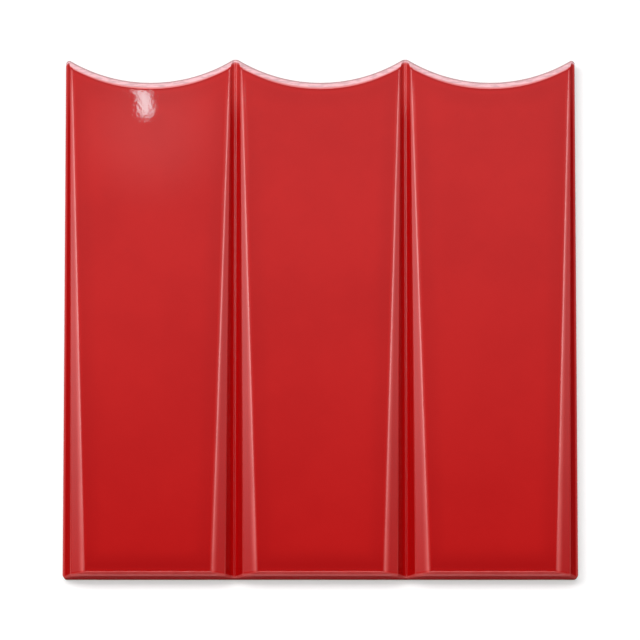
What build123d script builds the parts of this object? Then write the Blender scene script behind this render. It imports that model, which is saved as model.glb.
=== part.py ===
import os
from math import radians, tan

from build123d import *

# A relief wall tile of glazed ceramic, pressed and fired as one piece.
# Flat columns run from a straight foot to a scalloped head. V grooves part them, and half a groove
# runs down each outer side, so that tiles set side by side repeat the same joint. The face lies low
# at the head and rises towards the foot, so the bevels beside the grooves widen downwards.
# X runs across the columns, Y from foot to head and Z out of the face. The origin is in the middle
# of the back, which lies on Z = 0. All sizes are in millimetres and all angles in degrees.

# Plan
tile_width = 150.0
tile_length = 153.0  # foot to the tips between the scallops
column_count = 3
scallop_depth = 6.9  # from the tips down to the lowest point of a scallop
tip_round = 2.2  # plan radius of the tips between two scallops
corner_round = 1.0  # plan radius of the outer corners

# V grooves
groove_floor_height = 5.5  # from the back
groove_floor_width = 1.2
groove_floor_round = 0.5
groove_wall_angle = 60.0  # from the plane of the back
shoulder_gap_head = 2.7  # between the tops of the two groove walls, at the head
shoulder_gap_foot = 5.3  # the same, at the foot
shoulder_round = 0.4

# Bevels from the groove walls up to the face
bevel_angle = 28.0  # from the plane of the back
bevel_width_head = 0.3
bevel_width_foot = 3.6

# Scalloped rim
rim_width = 2.25
rim_drop = 1.4

# Foot
foot_draft = 7.0  # lean of the foot wall, from upright
foot_bevel_width = 1.3
foot_bevel_drop = 1.3
foot_edge_round = 0.5

face_edge_round = 0.6

# Keying pockets pressed into the back
pocket_rows = 6  # across and along
pocket_depth = 0.8
pocket_round = 2.0
back_rib = 5.0
back_border = 9.0

cut_clearance = 2.0  # how far the cuts run past the face

# Worked out from the sizes above
column_pitch = tile_width / column_count
foot_y = -tile_length / 2
head_y = tile_length / 2
half_floor = groove_floor_width / 2
wall_slope = tan(radians(groove_wall_angle))
bevel_slope = tan(radians(bevel_angle))


def shoulder_height(shoulder_gap):
    return groove_floor_height + (shoulder_gap / 2 - half_floor) * wall_slope


face_height_head = shoulder_height(shoulder_gap_head) + bevel_width_head * bevel_slope
face_height_foot = shoulder_height(shoulder_gap_foot) + bevel_width_foot * bevel_slope
face_rise = (face_height_foot - face_height_head) / tile_length
cut_height = max(face_height_head, face_height_foot) + cut_clearance

foot_edge_height = face_height_foot - foot_bevel_drop
foot_edge_y = foot_y + foot_edge_height * tan(radians(foot_draft))

# Each scallop is an arc that runs tangent into the round tips on both sides of it.
scallop_radius = ((column_pitch / 2) ** 2 + scallop_depth**2) / (2 * scallop_depth) - tip_round
scallop_low_y = head_y - scallop_depth
scallop_y = scallop_low_y + scallop_radius
rim_height = face_height_head + face_rise * scallop_depth - rim_drop
rim_reach = scallop_radius + (cut_height - rim_height) * rim_width / rim_drop

pocket_field_length = scallop_low_y - foot_y - 2 * back_border
pocket_pitch_x = (tile_width - 2 * back_border + back_rib) / pocket_rows
pocket_pitch_y = (pocket_field_length + back_rib) / pocket_rows
pocket_field_y = (foot_y + scallop_low_y) / 2

column_middles = [(index - (column_count - 1) / 2) * column_pitch for index in range(column_count)]
groove_middles = [(index - column_count / 2) * column_pitch for index in range(column_count + 1)]

# One groove with the bevels on both sides of it, as the body that it takes out of the tile
with BuildPart() as groove:
    for end_y, shoulder_gap in ((foot_y, shoulder_gap_foot), (head_y, shoulder_gap_head)):
        shoulder_z = shoulder_height(shoulder_gap)
        bevel_reach = shoulder_gap / 2 + (cut_height - shoulder_z) / bevel_slope
        with BuildSketch(Plane.XZ.offset(-end_y)):
            with BuildLine():
                Polyline(
                    (0, groove_floor_height),
                    (half_floor, groove_floor_height),
                    (shoulder_gap / 2, shoulder_z),
                    (bevel_reach, cut_height),
                    (0, cut_height),
                )
                mirror(about=Plane.YZ)
            make_face()
    loft(ruled=True)
    for level, radius in ((1, shoulder_round), (0, groove_floor_round)):
        lengthwise_edges = groove.edges().filter_by(lambda edge: edge.length > tile_length / 2)
        fillet(lengthwise_edges.group_by(Axis.Z)[level], radius)

with BuildPart() as wall_tile:
    # Side view: leaning foot wall, foot bevel and the rising face
    with BuildSketch(Plane.YZ):
        with BuildLine():
            Polyline(
                (foot_y, 0),
                (foot_edge_y, foot_edge_height),
                (foot_edge_y + foot_bevel_width, face_height_foot),
                (head_y, face_height_head),
                (head_y, 0),
                close=True,
            )
        make_face()
    extrude(amount=tile_width / 2, both=True)

    # Plan: straight foot, scalloped head, round tips and corners
    with BuildSketch() as plan:
        with Locations((0, foot_y)):
            Rectangle(tile_width, scallop_y - foot_y, align=(Align.CENTER, Align.MIN))
        with Locations([(x, scallop_y) for x in column_middles]):
            Circle(scallop_radius, mode=Mode.SUBTRACT)
        points_by_y = plan.vertices().group_by(Axis.Y)
        head_points = points_by_y[-1].sort_by(Axis.X)
        fillet(head_points[1:-1], tip_round)
        fillet(points_by_y[0] + [head_points[0], head_points[-1]], corner_round)
    extrude(amount=cut_height, mode=Mode.INTERSECT)

    # Sloping rim round each scallop
    for x in column_middles:
        with BuildSketch(Plane.XZ.offset(-scallop_y)):
            with BuildLine():
                Polyline(
                    (x, rim_height),
                    (x + scallop_radius, rim_height),
                    (x + rim_reach, cut_height),
                    (x, cut_height),
                    close=True,
                )
            make_face()
        revolve(axis=Axis((x, scallop_y, 0), (0, 0, 1)), mode=Mode.SUBTRACT)

    with Locations([(x, 0, 0) for x in groove_middles]):
        add(groove.part, mode=Mode.SUBTRACT)

    # Soft edges: round each column's face, then along the foot under its bevel
    column_faces = wall_tile.faces().sort_by(SortBy.AREA)[-column_count - 1 : -1]
    fillet(column_faces.edges(), face_edge_round)
    foot_walls = wall_tile.faces().group_by(Axis.Y)[0]
    fillet(foot_walls.edges().filter_by(Axis.X).group_by(Axis.Z)[-1], foot_edge_round)

    # Keying pockets in the back
    with BuildSketch():
        with Locations((0, pocket_field_y)):
            with GridLocations(pocket_pitch_x, pocket_pitch_y, pocket_rows, pocket_rows):
                RectangleRounded(pocket_pitch_x - back_rib, pocket_pitch_y - back_rib, pocket_round)
    extrude(amount=pocket_depth, mode=Mode.SUBTRACT)

wall_tile.part.label = "wall_tile"
os.makedirs("parts", exist_ok=True)
export_step(wall_tile.part, "parts/wall_tile.step")
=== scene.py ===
import math

import bmesh
import bpy
from mathutils import Euler, Matrix, Quaternion, Vector


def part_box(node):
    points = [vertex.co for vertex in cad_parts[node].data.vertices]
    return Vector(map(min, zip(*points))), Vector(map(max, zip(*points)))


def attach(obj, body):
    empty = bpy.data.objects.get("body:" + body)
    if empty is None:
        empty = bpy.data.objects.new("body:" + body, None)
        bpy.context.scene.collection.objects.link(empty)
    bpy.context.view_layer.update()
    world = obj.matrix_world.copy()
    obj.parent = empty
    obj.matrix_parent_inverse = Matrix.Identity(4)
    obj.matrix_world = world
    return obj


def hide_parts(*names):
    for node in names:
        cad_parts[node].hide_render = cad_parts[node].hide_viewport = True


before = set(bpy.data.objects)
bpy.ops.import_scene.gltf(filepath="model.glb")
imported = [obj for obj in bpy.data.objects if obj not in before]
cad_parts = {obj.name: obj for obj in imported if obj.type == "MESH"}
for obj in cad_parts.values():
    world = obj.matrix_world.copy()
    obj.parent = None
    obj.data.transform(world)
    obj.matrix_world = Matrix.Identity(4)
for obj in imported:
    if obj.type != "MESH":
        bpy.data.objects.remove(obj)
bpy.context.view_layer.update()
tileLow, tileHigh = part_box("wall_tile")
mm = 0.001
white = (1.0, 1.0, 1.0, 1.0)
scene = bpy.context.scene
scene.view_settings.view_transform = "Standard"
print("frame loaded, tile box", tuple(tileLow), tuple(tileHigh))


# Camera: high above the foot, looking almost straight down, with the scalloped head at the top
cameraSet = {
    "distance": 0.9,  # metres
    "lean": 4.75,  # degrees from plumb, towards the foot
    "aim": (-0.0001, -0.00076, 0.008),
    "framePixels": 640.0,
    "tilePixels": 513.8,  # width of the tile in the picture, half way up
    "sensor": 36.0,  # millimetres
}


def makeCamera():
    data = bpy.data.cameras.new("photoCamera")
    data.sensor_width = cameraSet["sensor"]
    tileShare = cameraSet["tilePixels"] / cameraSet["framePixels"]
    data.lens = data.sensor_width * tileShare * cameraSet["distance"] / (tileHigh.x - tileLow.x)
    camera = bpy.data.objects.new("photoCamera", data)
    lean = math.radians(cameraSet["lean"])
    back = Vector((0.0, -math.sin(lean), math.cos(lean)))
    camera.location = Vector(cameraSet["aim"]) + back * cameraSet["distance"]
    camera.rotation_euler = Euler((lean, 0.0, 0.0))
    scene.collection.objects.link(camera)
    scene.camera = camera


makeCamera()
print("camera set")


# Tile: the solid's sizes in millimetres and degrees, and a few that only this mesh has
tileSet = {
    "columns": 3,
    "scallopDepth": 6.9,
    "tipRound": 2.2,
    "cornerRound": 1.0,
    "floorHeight": 5.5,
    "floorHalf": 0.6,
    "wallAngle": 60.0,
    "shoulderHead": 1.35,  # half the gap between the wall tops
    "shoulderFoot": 2.65,
    "bevelAngle": 28.0,
    "bevelHead": 0.3,
    "bevelFoot": 3.6,
    "rimWidth": 2.25,
    "rimDrop": 1.4,
    "footDraft": 7.0,
    "footBevelWidth": 1.3,
    "footBevelDrop": 1.3,
    "footBevelGroove": 0.35,  # share of the foot bevel that is left in the grooves
    "outerRound": 0.4,
    "pocketRows": 6,
    "pocketDepth": 0.8,
    "pocketRound": 2.0,
    "pocketSegments": 5,
    "backRib": 5.0,
    "backBorder": 9.0,
    "sharpAngle": 50.0,  # edges that turn more than this stay sharp
}

# How softly the glaze flows over each kind of edge: the height over which two surfaces blend
softSet = {
    "faceHead": 0.4,
    "faceFoot": 0.8,
    "shoulder": 0.18,
    "rim": 0.015,
    "foot": 0.35,
    "floor": 0.95,
}

width = (tileHigh.x - tileLow.x) / mm
length = (tileHigh.y - tileLow.y) / mm
pitch = width / tileSet["columns"]
footY = -length / 2
headY = length / 2
scallopLowY = headY - tileSet["scallopDepth"]
wallSlope = math.tan(math.radians(tileSet["wallAngle"]))
bevelSlope = math.tan(math.radians(tileSet["bevelAngle"]))
draftSlope = math.tan(math.radians(tileSet["footDraft"]))
rimSlope = tileSet["rimDrop"] / tileSet["rimWidth"]
footSlope = tileSet["footBevelDrop"] / tileSet["footBevelWidth"]
scallopChord = (pitch**2 / 4 + tileSet["scallopDepth"] ** 2) / (2 * tileSet["scallopDepth"])
scallopRadius = scallopChord - tileSet["tipRound"]
scallopY = scallopLowY + scallopRadius


def mix(a, b, share):
    return a + (b - a) * share


def ramp(low, high, value):
    share = min(max((value - low) / (high - low), 0.0), 1.0)
    return share * share * (3 - 2 * share)


def band(start, full, fade, end, value):
    return ramp(start, full, value) * (1 - ramp(fade, end, value))


# The lower of two heights, with the corner between them softened
def softLow(a, b, soft):
    near = max(soft - abs(a - b), 0.0) / soft
    return min(a, b) - near * near * soft / 4


def headShare(y):
    return (y - footY) / length


def shoulderGap(y):
    return mix(tileSet["shoulderFoot"], tileSet["shoulderHead"], headShare(y))


def faceGap(y):
    return shoulderGap(y) + mix(tileSet["bevelFoot"], tileSet["bevelHead"], headShare(y))


def shoulderZ(y):
    return tileSet["floorHeight"] + (shoulderGap(y) - tileSet["floorHalf"]) * wallSlope


faceZFoot = shoulderZ(footY) + tileSet["bevelFoot"] * bevelSlope
faceZHead = shoulderZ(headY) + tileSet["bevelHead"] * bevelSlope


def faceZ(y):
    return mix(faceZFoot, faceZHead, headShare(y))


rimLowZ = faceZ(scallopLowY) - tileSet["rimDrop"]


# Plan outline at the head: a scallop that runs into a round tip, or a round outer corner
def headLine(fromMiddle, outer):
    turn = tileSet["cornerRound"] if outer else tileSet["tipRound"]
    turnX = pitch / 2 - turn if outer else pitch / 2
    turnY = scallopY - math.sqrt((scallopRadius + turn) ** 2 - turnX**2)
    if fromMiddle > turnX * scallopRadius / (scallopRadius + turn):
        return turnY + math.sqrt(max(turn**2 - (fromMiddle - turnX) ** 2, 0.0))
    return scallopY - math.sqrt(scallopRadius**2 - fromMiddle**2)


def footLine(fromMiddle, outer):
    turn = tileSet["cornerRound"]
    over = fromMiddle - (pitch / 2 - turn)
    if outer and over > 0:
        return footY + turn - math.sqrt(max(turn**2 - over**2, 0.0))
    return footY


def edgeDrop(inside):
    turn = tileSet["outerRound"]
    short = max(turn - inside, 0.0)
    return turn - math.sqrt(turn**2 - short**2)


# The surfaces that meet in the relief, each as a height over one point of the plan
def surfaces(fromMiddle, y):
    fromGroove = pitch / 2 - fromMiddle
    level = {
        "face": faceZ(y),
        "bevel": shoulderZ(y) + (fromGroove - shoulderGap(y)) * bevelSlope,
        "wall": tileSet["floorHeight"] + (fromGroove - tileSet["floorHalf"]) * wallSlope,
        "rim": rimLowZ + (math.hypot(fromMiddle, scallopY - y) - scallopRadius) * rimSlope,
        "floor": tileSet["floorHeight"],
    }
    faceSoft = mix(softSet["faceFoot"], softSet["faceHead"], headShare(y))
    column = softLow(level["face"], level["bevel"], faceSoft)
    column = softLow(column, level["wall"], softSet["shoulder"])
    level["column"] = -softLow(-column, -level["floor"], softSet["floor"])
    deep = (level["face"] - level["column"]) / (level["face"] - level["floor"])
    footShare = mix(1.0, tileSet["footBevelGroove"], math.sqrt(max(deep, 0.0)))
    footLow = level["column"] - tileSet["footBevelDrop"] * footShare
    level["foot"] = footLow + (y - footY - footLow * draftSlope) * footSlope
    return level


def reliefHeight(level):
    height = softLow(level["column"], level["rim"], softSet["rim"])
    return softLow(height, level["foot"], softSet["foot"])


# Where the glaze is pale from thin glaze and painted highlights, dark from painted shade, or dull: 0 to 1
# at each point, read by the materials.
# A pair is the two ends of a fade, in millimetres unless its note says otherwise.
finishSet = {
    "rimStop": (0.1, 0.2),  # how far under its upper edge the pale rim stops
    "rimFloor": (-0.1, 0.2),  # how far over the groove's floor it starts
    "tipCap": (0.65, 1.15),  # how far the pale rim reaches round the tips
    "tipCapDepth": 0.6,
    "edgeReach": (0.4, 0.28),  # pale edge of the face, thin glaze and painted highlight: height inwards, share of the bevel outwards
    "edgeLeast": 0.25,
    "edgeHead": (4.0, 14.0),  # from the tips, where that starts
    "shoulderReach": 0.25,
    "shoulderShare": 0.8,
    "shoulderFade": 2,  # power by which it fades towards the head
    "footReach": 0.25,
    "footShare": (0.6, 0.95),  # painted light on the foot bevel: shares on the face and where the foot bevel runs down into the grooves
    "footDeep": 1.0,  # height under the face at which the second is reached
    "sideReach": (0.3, 0.9),
    "sideShare": 0.9,
    "footShadeShare": 0.45,  # painted shade, darker towards the foot
    "footShadeFade": 1.5,
    "shadeBand": (0.3, 1.6, 2.2, 6.5),  # a band of painted shade inside the face's edges: starts, full, fades and ends, from the edge of the face inwards
    "shadeBandShare": 0.25,
    # painted shade near the foot edge of the face
    "shadeFoot": 9.0,
    "shadeFootShare": 0.35,
    "rimLine": (-0.4, -0.1, 0.15, 0.6),  # the same from the rim, where a line of painted shade runs
    "rimLineShare": 0.6,
    "grooveEdge": (-0.1, 0.25),
    "grooveFloor": (-0.1, 0.4),
    "grooveHead": (6.0, 20.0),  # from the tips, where the grooves take painted shade and a duller gloss
    "grooveDull": 0.5,
    "tipShare": 0.35,  # how far a painted reflection makes the grooves pale at the head
}


# The pale rim and tip caps: thin glaze and painted light where the rim faces the light from the head
def rimShares(level, fromHead):
    under = min(level["column"], level["foot"]) - level["rim"]
    onRim = ramp(*finishSet["rimStop"], under) * ramp(*finishSet["rimFloor"], level["rim"] - level["floor"])
    onCap = 1 - ramp(*finishSet["tipCap"], fromHead)
    depth = (level["rim"] - rimLowZ) / tileSet["rimDrop"]
    if onCap > onRim:
        depth = finishSet["tipCapDepth"] * fromHead / finishSet["tipCap"][1]
    return max(onRim, onCap), min(max(depth, 0.0), 1.0)


# Pale lines of thin glaze and painted highlight along the face's edges, the shoulders and the outer sides,
# and painted light on the foot bevel
def edgeShare(level, y, fromSide):
    face, bevel, wall, rim, foot, column = (
        level[name] for name in ("face", "bevel", "wall", "rim", "foot", "column")
    )
    inwards, outwards = finishSet["edgeReach"]
    outwards = max(outwards * (faceZ(y) - shoulderZ(y)), finishSet["edgeLeast"])
    over = face - bevel
    nearFace = max(1 - (over / outwards if over > 0 else -over / inwards), 0.0)
    nearFace *= ramp(-inwards, 0.0, min(rim, foot, wall) - min(face, bevel))
    nearFace *= ramp(*finishSet["edgeHead"], headY - y)
    reach = finishSet["shoulderReach"]
    nearShoulder = max(1 - abs(bevel - wall) / reach, 0.0) * ramp(-reach, 0.0, min(rim, foot) - column)
    nearShoulder *= finishSet["shoulderShare"] * (1 - headShare(y)) ** finishSet["shoulderFade"]
    # painted light on the foot bevel, in place of light from the foot's side
    reach = finishSet["footReach"]
    nearFoot = max(1 - abs(foot - column) / reach, 0.0)
    onFoot = mix(*finishSet["footShare"], ramp(0.0, finishSet["footDeep"], face - column))
    onFoot *= ramp(-reach, 0.0, column - foot)
    nearSide = finishSet["sideShare"] * (1 - ramp(*finishSet["sideReach"], fromSide))
    return max(nearFace, nearShoulder, onFoot, nearFoot, nearSide)


# Painted shade: darker towards the foot, in a band inside the face's edges, near the foot edge and in a
# line under the rim
def paintedShadeShare(level, y):
    face = level["face"]
    fromBevel = (level["bevel"] - face) / bevelSlope
    fromRim = (level["rim"] - face) / rimSlope
    fromFoot = (level["foot"] - face) / footSlope
    inside = min(fromBevel, fromRim, fromFoot)
    paintedShade = finishSet["footShadeShare"] * (1 - headShare(y)) ** finishSet["footShadeFade"]
    paintedShade += finishSet["shadeBandShare"] * band(*finishSet["shadeBand"], inside)
    if inside > 0:
        paintedShade += finishSet["shadeFootShare"] * (1 - ramp(0.0, finishSet["shadeFoot"], fromFoot))
    if face < min(level["bevel"], level["wall"], level["foot"]):
        paintedShade = max(paintedShade, finishSet["rimLineShare"] * band(*finishSet["rimLine"], fromRim))
    return paintedShade


def finishShares(level, y, fromHead, fromSide):
    onRim, rimDepth = rimShares(level, fromHead)
    wall, floor = level["wall"], level["floor"]
    over = min(level["face"], level["bevel"], level["rim"], level["foot"])
    # painted shade on the grooves' walls and floors, away from the tips
    onGroove = ramp(*finishSet["grooveEdge"], over - max(wall, floor))
    onFloor = ramp(*finishSet["grooveFloor"], floor - wall)
    fromTips = ramp(*finishSet["grooveHead"], headY - y)
    # painted reflection: pale grooves near the tips
    nearTips = finishSet["tipShare"] * max(onFloor, onGroove) * (1 - fromTips)
    onGroove *= fromTips
    return {
        "rim": onRim,
        "rimDepth": rimDepth,
        "edge": max(edgeShare(level, y, fromSide), nearTips),
        "paintedShade": max(paintedShadeShare(level, y), onFloor * fromTips),
        "groove": onGroove,
        "dull": finishSet["grooveDull"] * onGroove,
    }


shareNames = ("rim", "rimDepth", "edge", "paintedShade", "groove", "dull")

# Where the mesh lines run. They crowd where the surface turns.
meshSet = {
    "floor": [0.0, 0.05, 0.2, 0.4, 0.6, 0.8, 1.0],  # shares of half the groove's floor
    "wall": 7,  # how many lines lie on the wall, the bevel and half the face
    "bevel": 12,
    "face": 16,
    "faceCrowd": 2.2,  # power by which the lines crowd to the edge of the face
    "outer": [0.0, 0.03, 0.1, 0.22, 0.4, 0.7],  # millimetres in from the outline
    "rim": [1.0, 1.4],
    "edge": [-0.45, -0.25, -0.1, -0.04, -0.012, 0.012, 0.04, 0.1, 0.2, 0.3, 0.45, 0.7, 1.1, 1.7, 2.6, 4.0],
    "middle": 60,  # lines between those of the foot and the head
    "ringShare": 0.9,  # least distance of a line from the outline, for each millimetre of its depth
    "footRounds": 4,  # rounds in which a line's place settles
    "rowRounds": 3,
}


def evenSteps(count):
    return [(step + 1) / count for step in range(count)]


wallSteps = evenSteps(meshSet["wall"])
bevelSteps = [(1 - math.cos(math.pi * step)) / 2 for step in evenSteps(meshSet["bevel"])]
faceSteps = [step ** meshSet["faceCrowd"] for step in evenSteps(meshSet["face"])]
headSteps = meshSet["outer"] + meshSet["rim"] + [tileSet["rimWidth"] + step for step in meshSet["edge"]]
footSteps = meshSet["outer"] + [tileSet["footBevelWidth"] + step for step in meshSet["edge"]]


def acrossStations(y):
    half, shoulder, face = tileSet["floorHalf"], shoulderGap(y), faceGap(y)
    return (
        [half * step for step in meshSet["floor"]]
        + [mix(half, shoulder, step) for step in wallSteps]
        + [mix(shoulder, face, step) for step in bevelSteps]
        + [mix(face, pitch / 2, step) for step in faceSteps]
    )


halfLines = len(acrossStations(0.0)) - 1
acrossLines = 2 * halfLines * tileSet["columns"]
alongLines = len(headSteps) + len(footSteps) + meshSet["middle"] - 1


def footStart(fromMiddle, outer):
    line = footLine(fromMiddle, outer)
    y = line
    for _ in range(meshSet["footRounds"]):
        y = line + (reliefHeight(surfaces(fromMiddle, y)) - tileSet["outerRound"]) * draftSlope
    return y


def rowY(row, fromMiddle, outer, start):
    if row < len(footSteps):
        return start + footSteps[row]
    fromHead = alongLines - row
    deep = headSteps[min(fromHead, len(headSteps) - 1)]
    ring = scallopY - math.sqrt((scallopRadius + deep) ** 2 - fromMiddle**2)
    ring = min(ring, headLine(fromMiddle, outer) - meshSet["ringShare"] * deep)
    if fromHead < len(headSteps):
        return ring
    return mix(start + footSteps[-1], ring, (row - len(footSteps) + 1) / (meshSet["middle"] + 1))


# One mesh line of half a column, from foot to head: place from the column's middle, y, height, shares
def tileLine(outer, station):
    points = []
    start = footStart(pitch / 2 - acrossStations(footY)[station], outer)
    y = start
    for row in range(alongLines + 1):
        for _ in range(meshSet["rowRounds"]):
            fromMiddle = pitch / 2 - acrossStations(y)[station]
            y = rowY(row, fromMiddle, outer, start)
        level = surfaces(fromMiddle, y)
        fromHead = headSteps[min(alongLines - row, len(headSteps) - 1)]
        fromFoot = footSteps[min(row, len(footSteps) - 1)]
        fromSide = pitch / 2 - fromMiddle if outer else pitch
        height = reliefHeight(level) - max(edgeDrop(inside) for inside in (fromHead, fromFoot, fromSide))
        points.append((fromMiddle, y, height, finishShares(level, y, fromHead, fromSide)))
    return points


# Moves a flat grid into the relief: both halves of each column take the same mesh lines, mirrored
def placeRelief(bm, layers):
    lines = {
        (outer, station): tileLine(outer, station)
        for outer in (False, True)
        for station in range(halfLines + 1)
    }
    for vert in bm.verts:
        line = round((vert.co.x + 1) / 2 * acrossLines)
        row = round((vert.co.y + 1) / 2 * alongLines)
        index = min(line // (2 * halfLines), tileSet["columns"] - 1)
        line -= index * 2 * halfLines
        side = -1 if line < halfLines else 1
        station = line if side < 0 else 2 * halfLines - line
        outer = index == (0 if side < 0 else tileSet["columns"] - 1)
        fromMiddle, y, height, shares = lines[outer, station][row]
        x = (index - (tileSet["columns"] - 1) / 2) * pitch + side * fromMiddle
        vert.co = Vector((x, y, height)) * mm
        for name, layer in layers.items():
            vert[layer] = shares[name]


def newVerts(made):
    return [item for item in made["geom"] if isinstance(item, bmesh.types.BMVert)]


def openEdges(made):
    return [item for item in made["geom"] if isinstance(item, bmesh.types.BMEdge) and item.is_boundary]


# Outer walls: a short band under the round edge, then down to the back, with the foot wall leaning out
wallSet = {
    "band": 0.8,
    "backEdge": 0.4,  # small chamfer round the back
    "sideNear": 0.5,  # points this near a side are moved in by it
    "endNear": 1.0,  # and those at the ends, up to this far past the scallops
    "footNear": 3.0,  # points this near the foot belong to its wall
    "footSteep": 0.62,  # faces whose normals rise less than this are walls, at the foot
    "sideSteep": 0.15,  # the same elsewhere
    "backHeight": 1.0,  # faces wholly under this are the back
}


def makeWalls(bm, layers):
    edges = [edge for edge in bm.edges if edge.is_boundary]
    chamfer = wallSet["backEdge"] * mm
    for drop in (wallSet["band"] * mm, None):
        made = bmesh.ops.extrude_edge_only(bm, edges=edges)
        edges = openEdges(made)
        for vert in newVerts(made):
            oldZ = vert.co.z
            vert.co.z = oldZ - drop if drop else chamfer
            if vert.co.y < (footY + wallSet["footNear"]) * mm:
                vert.co.y -= (oldZ - vert.co.z) * draftSlope
            for layer in layers.values():
                vert[layer] = 0.0
    made = bmesh.ops.extrude_edge_only(bm, edges=edges)
    for vert in newVerts(made):
        vert.co.z = 0.0
        if abs(vert.co.x) > (width / 2 - wallSet["sideNear"]) * mm:
            vert.co.x -= math.copysign(chamfer, vert.co.x)
        if abs(vert.co.y) > (scallopLowY - wallSet["endNear"]) * mm:
            vert.co.y -= math.copysign(chamfer, vert.co.y)
    return openEdges(made)


# Shallow pockets that key the back into its bed
def makePockets(bm):
    rows, rib = tileSet["pocketRows"], tileSet["backRib"]
    pitchX = (width - 2 * tileSet["backBorder"] + rib) / rows
    pitchY = (scallopLowY - footY - 2 * tileSet["backBorder"] + rib) / rows
    rimEdges = []
    for place in range(rows * rows):
        x = (place % rows - (rows - 1) / 2) * pitchX
        y = (place // rows - (rows - 1) / 2) * pitchY + (footY + scallopLowY) / 2
        corners = bmesh.ops.create_grid(bm, x_segments=1, y_segments=1, size=0.5)["verts"]
        bmesh.ops.scale(bm, vec=Vector((pitchX - rib, pitchY - rib, 1.0)) * mm, verts=corners)
        bmesh.ops.translate(bm, vec=Vector((x, y, 0.0)) * mm, verts=corners)
        rounded = bmesh.ops.bevel(
            bm, geom=corners, offset=tileSet["pocketRound"] * mm, segments=tileSet["pocketSegments"],
            profile=0.5, affect="VERTICES", material=-1,
        )
        mouth = rounded["verts"][0].link_faces[0]
        rimEdges += list(mouth.edges)
        roof = bmesh.ops.extrude_face_region(bm, geom=[mouth], use_keep_orig=True)
        bmesh.ops.translate(bm, vec=Vector((0.0, 0.0, tileSet["pocketDepth"])) * mm, verts=newVerts(roof))
        bmesh.ops.delete(bm, geom=[mouth], context="FACES_ONLY")
    return rimEdges


# 0 is the glossy relief, 1 the dry glaze of the outer sides, 2 the bare back
def finishOf(face):
    middle = face.calc_center_median() / mm
    if max(vert.co.z for vert in face.verts) < wallSet["backHeight"] * mm:
        return 2
    fromSide = width / 2 - abs(middle.x)
    steep = wallSet["footSteep"] if middle.y < footY + wallSet["footNear"] else wallSet["sideSteep"]
    if face.normal.z < steep or tileSet["outerRound"] < fromSide < shoulderGap(middle.y):
        return 1
    return 0


def makeTile():
    mesh = bpy.data.meshes.new("glazedTile")
    bm = bmesh.new()
    layers = {name: bm.verts.layers.float.new(name) for name in shareNames}
    bmesh.ops.create_grid(bm, x_segments=acrossLines, y_segments=alongLines, size=1.0)
    placeRelief(bm, layers)
    print("relief placed,", len(bm.verts), "points")
    outline = makeWalls(bm, layers)
    pockets = makePockets(bm)
    bmesh.ops.triangle_fill(bm, edges=outline + pockets, use_beauty=True, normal=(0.0, 0.0, -1.0))
    bmesh.ops.recalc_face_normals(bm, faces=bm.faces)
    for face in bm.faces:
        face.smooth = True
        face.material_index = finishOf(face)
    bm.to_mesh(mesh)
    bm.free()
    mesh.set_sharp_from_angle(angle=math.radians(tileSet["sharpAngle"]))
    tile = bpy.data.objects.new("glazedTile", mesh)
    scene.collection.objects.link(tile)
    return tile


tile = makeTile()
print("tile made,", len(tile.data.polygons), "faces")


# Small helpers for the materials
def plug(tree, value, socket):
    if isinstance(value, bpy.types.NodeSocket):
        tree.links.new(value, socket)
    else:
        socket.default_value = value


def addNode(tree, kind, inputs, **settings):
    node = tree.nodes.new(kind)
    for name, value in settings.items():
        setattr(node, name, value)
    for socket, value in inputs.items():
        plug(tree, value, node.inputs[socket])
    return node


def blendColor(tree, share, first, second):
    return addNode(tree, "ShaderNodeMix", {0: share, 6: first, 7: second}, data_type="RGBA").outputs[2]


def calc(tree, operation, first, second):
    return addNode(tree, "ShaderNodeMath", {0: first, 1: second}, operation=operation).outputs[0]


def mapSmooth(tree, value, low, high, toLow=0.0, toHigh=1.0):
    inputs = {0: value, 1: low, 2: high, 3: toLow, 4: toHigh}
    return addNode(tree, "ShaderNodeMapRange", inputs, interpolation_type="SMOOTHSTEP").outputs[0]


def noise(tree, place, scale, detail, rough):
    inputs = {"Vector": place, "Scale": scale, "Detail": detail, "Roughness": rough}
    return addNode(tree, "ShaderNodeTexNoise", inputs).outputs[0]


def stretch(tree, place, scale):
    return addNode(tree, "ShaderNodeMapping", {"Vector": place, "Scale": scale}).outputs[0]


def bump(tree, height, distance, under=None):
    inputs = {"Height": height, "Distance": distance}
    if under is not None:
        inputs["Normal"] = under
    return addNode(tree, "ShaderNodeBump", inputs).outputs[0]


def readShare(tree, name):
    return addNode(tree, "ShaderNodeAttribute", {}, attribute_name=name).outputs["Fac"]


def newMaterial(name):
    material = bpy.data.materials.new(name)
    material.use_nodes = True
    tree = material.node_tree
    place = addNode(tree, "ShaderNodeTexCoord", {}).outputs["Object"]
    return material, tree, tree.nodes["Principled BSDF"], place


def newGroup(name, inputs, outputs):
    tree = bpy.data.node_groups.new(name, "ShaderNodeTree")
    for way, sockets in (("INPUT", inputs), ("OUTPUT", outputs)):
        for socket, kind in sockets.items():
            tree.interface.new_socket(socket, in_out=way, socket_type="NodeSocket" + kind)
    return tree, tree.nodes.new("NodeGroupInput").outputs, tree.nodes.new("NodeGroupOutput").inputs


def useGroup(tree, group, **inputs):
    return addNode(tree, "ShaderNodeGroup", inputs, node_tree=group).outputs


# Fired clay: buff, with fine grit and small pores. A noise is its scale, detail and roughness.
claySet = {
    "buff": (0.62, 0.50, 0.40, 1.0),
    "pale": (0.74, 0.64, 0.54, 1.0),
    "grit": (0.36, 0.25, 0.19, 1.0),
    "patchNoise": (45.0, 4.0, 0.6),
    "patchReach": (0.3, 0.7),
    "gritNoise": (1500.0, 1.0, 0.5),
    "gritReach": (0.66, 0.74),
    "grainNoise": (2600.0, 3.0, 0.6),
    "grainDepth": 0.06 * mm,
    "roughness": 0.88,
}


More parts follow.
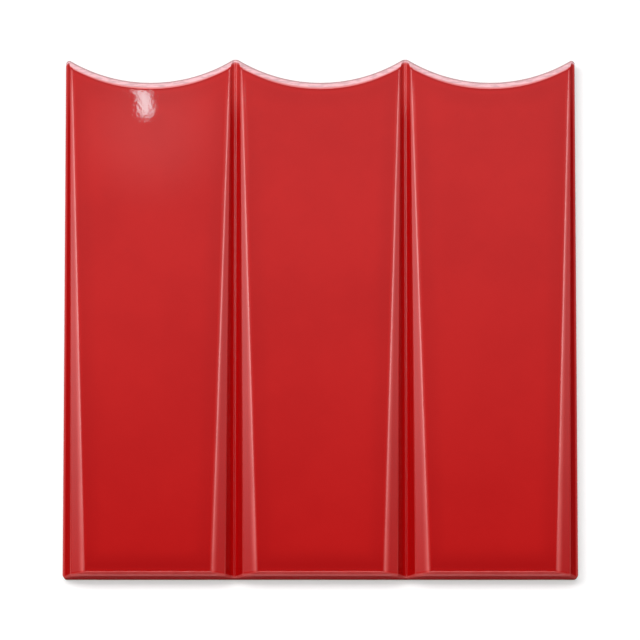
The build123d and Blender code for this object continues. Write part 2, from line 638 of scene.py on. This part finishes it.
def makeClayGroup():
    tree, given, result = newGroup("clayGrain", {"Place": "Vector"}, {"Color": "Color", "Height": "Float"})
    place = given["Place"]
    patches = mapSmooth(tree, noise(tree, place, *claySet["patchNoise"]), *claySet["patchReach"])
    grit = mapSmooth(tree, noise(tree, place, *claySet["gritNoise"]), *claySet["gritReach"])
    color = blendColor(tree, patches, claySet["buff"], claySet["pale"])
    plug(tree, blendColor(tree, grit, color, claySet["grit"]), result["Color"])
    grain = noise(tree, place, *claySet["grainNoise"])
    plug(tree, calc(tree, "SUBTRACT", grain, grit), result["Height"])
    return tree


clayGroup = makeClayGroup()


def makeBareClay():
    material, tree, shader, place = newMaterial("bareClay")
    clay = useGroup(tree, clayGroup, Place=place)
    plug(tree, clay["Color"], shader.inputs["Base Color"])
    shader.inputs["Roughness"].default_value = claySet["roughness"]
    plug(tree, bump(tree, clay["Height"], claySet["grainDepth"]), shader.inputs["Normal"])
    return material


# Red glaze: darker with painted shade in the grooves, creases and towards the foot; pale over edges and the
# rim from thin glaze and painted highlights
glazeSet = {
    "red": (0.475, 0.0045, 0.0045, 1.0),
    "warm": (0.515, 0.0065, 0.006, 1.0),
    # painted shade: the darker red
    "deep": (0.36, 0.0015, 0.002, 1.0),
    # pale edges: thin glaze and painted highlight
    "edge": (0.62, 0.075, 0.07, 1.0),
    # painted shade on the grooves' walls
    "groove": (0.45, 0.0008, 0.0012, 1.0),
    "grooveShare": 0.85,
    "cloudNoise": (38.0, 3.0, 0.6),
    "cloudReach": (0.3, 0.7),
    # patches along the pale edges of thin glaze and painted highlight
    "edgePatchNoise": (240.0, 3.0, 0.6),
    "edgePatchStretch": (1.0, 0.3, 1.0),
    "edgePatchReach": (0.25, 0.65),
    "edgePatchShare": (0.65, 1.0),
    "swellNoise": (34.0, 1.0, 0.5),
    "swellDepth": 0.01 * mm,
    "rippleNoise": (1100.0, 2.0, 0.5),
    "rippleDepth": 0.0022 * mm,
    "glossNoise": (160.0, 2.0, 0.5),
    "glossReach": (0.35, 0.65),
    "gloss": (0.008, 0.016),
    "dullGloss": 0.34,
}


def makeCloudGroup():
    tree, given, result = newGroup("glazeClouds", {"Place": "Vector"}, {"Color": "Color"})
    clouds = mapSmooth(tree, noise(tree, given["Place"], *glazeSet["cloudNoise"]), *glazeSet["cloudReach"])
    plug(tree, blendColor(tree, clouds, glazeSet["red"], glazeSet["warm"]), result["Color"])
    return tree


cloudGroup = makeCloudGroup()

# Rim: pale from thin glaze and painted light, streaked along the scallop, with painted shade along its
# outer edge. Depth is 0 at its outer edge and 1 inside.
rimSet = {
    # pale rim: thin glaze and painted light
    "pale": (0.9, 0.54, 0.575, 1.0),
    "grey": (0.70, 0.41, 0.44, 1.0),
    "streakNoise": (960.0, 2.0, 0.5),
    "streakStretch": (0.35, 1.6, 1.0),
    "streakReach": (0.42, 0.62),
    "inner": (0.75, 0.22, 0.225, 1.0),
    "innerReach": (0.58, 0.82),
    # painted shade along the rim's outer edge
    "outer": (0.50, 0.26, 0.27, 1.0),
    "outerReach": (0.28, 0.12),
}


def makeRimGroup():
    tree, given, result = newGroup("paleRim", {"Place": "Vector", "Depth": "Float"}, {"Color": "Color"})
    stretched = stretch(tree, given["Place"], rimSet["streakStretch"])
    streaks = mapSmooth(tree, noise(tree, stretched, *rimSet["streakNoise"]), *rimSet["streakReach"])
    color = blendColor(tree, streaks, rimSet["pale"], rimSet["grey"])
    inner = mapSmooth(tree, given["Depth"], *rimSet["innerReach"])
    color = blendColor(tree, inner, color, rimSet["inner"])
    outer = mapSmooth(tree, given["Depth"], *rimSet["outerReach"])
    plug(tree, blendColor(tree, outer, color, rimSet["outer"]), result["Color"])
    return tree


rimGroup = makeRimGroup()


def overRim(tree, place, color):
    rim = useGroup(tree, rimGroup, Place=place, Depth=readShare(tree, "rimDepth"))
    return blendColor(tree, readShare(tree, "rim"), color, rim["Color"])


def glazeColor(tree, place):
    clouds = useGroup(tree, cloudGroup, Place=place)["Color"]
    # painted shade on the grooves' walls
    groove = calc(tree, "MULTIPLY", readShare(tree, "groove"), glazeSet["grooveShare"])
    color = blendColor(tree, groove, clouds, glazeSet["groove"])
    # painted shade
    color = blendColor(tree, readShare(tree, "paintedShade"), color, glazeSet["deep"])
    stretched = stretch(tree, place, glazeSet["edgePatchStretch"])
    edgePatches = noise(tree, stretched, *glazeSet["edgePatchNoise"])
    edgePatches = mapSmooth(tree, edgePatches, *glazeSet["edgePatchReach"], *glazeSet["edgePatchShare"])
    # pale edges: thin glaze and painted highlight
    edge = calc(tree, "MULTIPLY", readShare(tree, "edge"), edgePatches)
    return overRim(tree, place, blendColor(tree, edge, color, glazeSet["edge"]))


def makeGlaze():
    material, tree, shader, place = newMaterial("redGlaze")
    plug(tree, glazeColor(tree, place), shader.inputs["Base Color"])
    patches = noise(tree, place, *glazeSet["glossNoise"])
    gloss = mapSmooth(tree, patches, *glazeSet["glossReach"], *glazeSet["gloss"])
    dulled = {0: readShare(tree, "dull"), 2: gloss, 3: glazeSet["dullGloss"]}
    plug(tree, addNode(tree, "ShaderNodeMix", dulled).outputs[0], shader.inputs["Roughness"])
    swell = bump(tree, noise(tree, place, *glazeSet["swellNoise"]), glazeSet["swellDepth"])
    ripple = noise(tree, place, *glazeSet["rippleNoise"])
    plug(tree, bump(tree, ripple, glazeSet["rippleDepth"], swell), shader.inputs["Normal"])
    return material


# Outer sides: the glaze lies thin and dry there, its red darkened by painted shade, down to a wavy line
# above bare clay
sideSet = {
    # painted shade: the sides' darker red
    "dull": (0.40, 0.0015, 0.002, 1.0),
    "dullShare": 0.8,
    "roughness": 0.62,
    "shine": 0.01,
    "edgeShare": 0.8,
    "bareLine": 1.6 * mm,
    "bareWave": 1.0 * mm,
    "bareNoise": (140.0, 2.0, 0.5),
    "bareSoft": 0.1 * mm,
    "dragNoise": (420.0, 3.0, 0.5),
    "dragDepth": 0.02 * mm,
}


# 0 on the glaze and 1 on the clay under its wavy lower line
def bareShare(tree, place):
    height = addNode(tree, "ShaderNodeSeparateXYZ", {0: place}).outputs["Z"]
    wave = calc(tree, "MULTIPLY", noise(tree, place, *sideSet["bareNoise"]), sideSet["bareWave"])
    low = sideSet["bareLine"] - sideSet["bareWave"] / 2
    level = calc(tree, "SUBTRACT", height, wave)
    return mapSmooth(tree, level, low + sideSet["bareSoft"], low - sideSet["bareSoft"])


def makeSideGlaze():
    material, tree, shader, place = newMaterial("sideGlaze")
    clouds = useGroup(tree, cloudGroup, Place=place)["Color"]
    # painted shade: the sides' darker red
    color = blendColor(tree, sideSet["dullShare"], clouds, sideSet["dull"])
    # pale edges: thin glaze and painted highlight
    edge = calc(tree, "MULTIPLY", readShare(tree, "edge"), sideSet["edgeShare"])
    color = overRim(tree, place, blendColor(tree, edge, color, glazeSet["edge"]))
    clay = useGroup(tree, clayGroup, Place=place)
    bare = bareShare(tree, place)
    plug(tree, blendColor(tree, bare, color, clay["Color"]), shader.inputs["Base Color"])
    rough = mapSmooth(tree, bare, 0.0, 1.0, sideSet["roughness"], claySet["roughness"])
    plug(tree, rough, shader.inputs["Roughness"])
    shader.inputs["Specular IOR Level"].default_value = sideSet["shine"]
    drag = bump(tree, noise(tree, place, *sideSet["dragNoise"]), sideSet["dragDepth"])
    grain = calc(tree, "MULTIPLY", clay["Height"], bare)
    plug(tree, bump(tree, grain, claySet["grainDepth"], drag), shader.inputs["Normal"])
    return material


for material in (makeGlaze(), makeSideGlaze(), makeBareClay()):
    tile.data.materials.append(material)
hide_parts("wall_tile")
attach(tile, "root")
print("glaze and clay set")


# Floor: pale, white to the eye, and it keeps the tile's shadow
floorSet = {"half": 3.0, "color": (0.64, 0.64, 0.64, 1.0), "glow": 0.38, "roughness": 0.9}


def makeFloor():
    mesh = bpy.data.meshes.new("floor")
    bm = bmesh.new()
    bmesh.ops.create_grid(bm, x_segments=1, y_segments=1, size=floorSet["half"])
    bm.to_mesh(mesh)
    bm.free()
    floor = bpy.data.objects.new("floor", mesh)
    scene.collection.objects.link(floor)
    material = bpy.data.materials.new("paleFloor")
    material.use_nodes = True
    tree = material.node_tree
    shader = tree.nodes["Principled BSDF"]
    shader.inputs["Base Color"].default_value = floorSet["color"]
    shader.inputs["Roughness"].default_value = floorSet["roughness"]
    shader.inputs["Specular IOR Level"].default_value = 0.0
    shader.inputs["Emission Color"].default_value = white
    rays = addNode(tree, "ShaderNodeLightPath", {}).outputs
    seen = calc(tree, "MAXIMUM", rays["Is Camera Ray"], rays["Is Glossy Ray"])
    seen = calc(tree, "MAXIMUM", seen, rays["Is Transmission Ray"])
    plug(tree, calc(tree, "MULTIPLY", seen, floorSet["glow"]), shader.inputs["Emission Strength"])
    mesh.materials.append(material)


makeFloor()
print("floor laid")


# Light: angles in degrees from plumb, to the right and towards the head; sizes and distances in metres
glintColor = (0.6, 0.97, 1.0)
lightSet = {
    "headBox": {
        "right": -11.0, "head": 15.5, "far": 1.6, "size": (1.2, 0.365), "glow": 12.0,
        "mirrored": False,
    },
    "footStrip": {"right": 0.0, "head": -35.0, "far": 0.9, "size": (0.6, 0.16), "glow": 3.4},
    "glint": {
        "right": -5.74, "head": 14.55, "far": 1.25, "size": (0.0088, 0.0165), "glow": 11.0,
        "turn": 8.0, "color": glintColor,
    },
    "glintCorner": {
        "right": -6.02, "head": 14.98, "far": 1.25, "size": (0.009, 0.0022), "glow": 11.0,
        "turn": -14.0, "color": glintColor,
    },
}
areaPower = 4.0  # watts for each square metre of a lamp and unit of glow


def makeLamp(name, values):
    data = bpy.data.lights.new(name, "AREA")
    data.shape = "RECTANGLE"
    data.size, data.size_y = values["size"]
    data.energy = areaPower * data.size * data.size_y * values["glow"]
    data.color = values.get("color", white[:3])
    lamp = bpy.data.objects.new(name, data)
    toRight = math.tan(math.radians(values["right"]))
    toHead = math.tan(math.radians(values["head"]))
    toLamp = Vector((toRight, toHead, 1.0)).normalized()
    across = Vector((0.0, 1.0, 0.0)).cross(toLamp).normalized()
    across.rotate(Quaternion(toLamp, math.radians(values.get("turn", 0.0))))
    lamp.location = toLamp * values["far"]
    lamp.rotation_euler = Matrix((across, toLamp.cross(across), toLamp)).transposed().to_euler()
    lamp.visible_camera = False
    lamp.visible_glossy = values.get("mirrored", True)
    scene.collection.objects.link(lamp)


for name, values in lightSet.items():
    makeLamp(name, values)

# Room: the glow that the glaze mirrors, by direction.
# Two figures say where a glow starts and is full, four also where it fades and ends.
roomSet = {
    "base": 0.04,
    "over": 0.69,  # overhead, brighter towards the head
    "overReach": (-0.01, 0.26),
    "overHigh": (0.85, 0.96),
    "left": {"strip": 5.6, "panel": 2.2},  # a bright strip each side, and a wide panel below it
    "right": {"strip": 5.0, "panel": 1.1},
    "stripReach": (0.31, 0.42, 0.46, 0.57),
    "stripAlong": (0.0, 0.13, 0.19, 0.212),
    "panelReach": (0.42, 0.62, 0.87, 0.97),
    "panelAlong": (-0.04, 0.12, 0.12, 0.34),
    "headLow": 0.6,
    "headReach": (0.55, 0.95),
    "foot": 0.2,
    "footReach": (0.8, 0.98),
    "haze": 0.45,  # a faint glow round the glint
    "hazeToward": (-0.0545, 0.196, 0.979),
    "hazeReach": (0.003, 0.03),
}


def glowBand(tree, axis, reach, glow=1.0):
    start, full, fade, end = reach
    rise = mapSmooth(tree, axis, start, full, 0.0, glow)
    return calc(tree, "MULTIPLY", rise, mapSmooth(tree, axis, fade, end, 1.0, 0.0))


def makeRoom():
    world = bpy.data.worlds.new("softRoom")
    scene.world = world
    world.use_nodes = True
    tree = world.node_tree
    toward = addNode(tree, "ShaderNodeTexCoord", {}).outputs["Generated"]
    axes = addNode(tree, "ShaderNodeSeparateXYZ", {0: toward}).outputs
    leftward = calc(tree, "MULTIPLY", axes["X"], -1.0)
    footward = calc(tree, "MULTIPLY", axes["Y"], -1.0)

    high = mapSmooth(tree, axes["Z"], *roomSet["overHigh"])
    over = mapSmooth(tree, axes["Y"], *roomSet["overReach"], 0.0, roomSet["over"])
    glows = [calc(tree, "MULTIPLY", over, high)]
    for side, axis in (("left", leftward), ("right", axes["X"])):
        for part, glow in roomSet[side].items():
            along = glowBand(tree, axes["Y"], roomSet[part + "Along"], glow)
            glows.append(calc(tree, "MULTIPLY", along, glowBand(tree, axis, roomSet[part + "Reach"])))
    glows.append(mapSmooth(tree, axes["Y"], *roomSet["headReach"], 0.0, roomSet["headLow"]))
    glows.append(mapSmooth(tree, footward, *roomSet["footReach"], 0.0, roomSet["foot"]))
    apart = {0: toward, 1: roomSet["hazeToward"]}
    aside = addNode(tree, "ShaderNodeVectorMath", apart, operation="DISTANCE").outputs["Value"]
    glows.append(mapSmooth(tree, aside, *roomSet["hazeReach"], roomSet["haze"], 0.0))

    total = roomSet["base"]
    for glow in glows:
        total = calc(tree, "ADD", glow, total)
    background = tree.nodes["Background"]
    background.inputs["Color"].default_value = white
    plug(tree, total, background.inputs["Strength"])


makeRoom()
print("light set")
